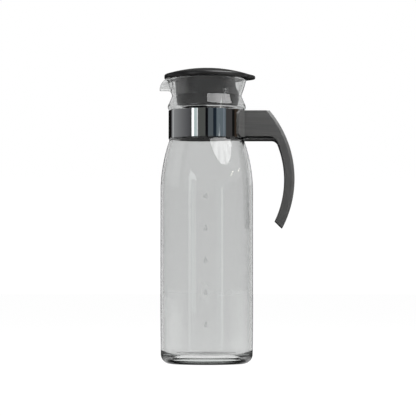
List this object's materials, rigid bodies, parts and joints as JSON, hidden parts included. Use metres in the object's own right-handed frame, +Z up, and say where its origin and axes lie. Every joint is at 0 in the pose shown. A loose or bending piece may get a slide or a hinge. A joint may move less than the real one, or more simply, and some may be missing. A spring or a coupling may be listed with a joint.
{
  "type": "fridge water jug",
  "caption": "Tall round glass water jug with a pouring lip, a clamped neck band, a curved open handle and a domed lid with a slotted stopper.",
  "frame": {"origin": "on the floor at the centre of the carafe's standing ring", "axes": "+Z up along the carafe's axis, the handle towards +X, the spout towards -X"},
  "size_m": [0.1339, 0.092, 0.2935],
  "materials": {
    "carafe_glass": "clear, polished",
    "band_steel": "polished stainless sheet",
    "screw_steel": "plain steel",
    "nut_steel": "plain steel",
    "handle_plastic": "fine satin",
    "cover_plastic": "fine satin",
    "lid_plastic": "soft gloss",
    "stopper_plastic": "soft gloss"
  },
  "bodies": {
    "jug": {"glass_carafe": "carafe_glass", "neck_band": "band_steel", "clamp_screw": "screw_steel", "clamp_nut": "nut_steel", "handle_shell": "handle_plastic", "handle_cover": "cover_plastic"},
    "lid": {"lid_cap": "lid_plastic", "lid_stopper": "stopper_plastic"}
  },
  "joints": [
    {"name": "lid_lift", "type": "slide", "parent": "jug", "child": "lid", "axis": [0, 0, 1], "range_m": [0, 0.06]}
  ]
}
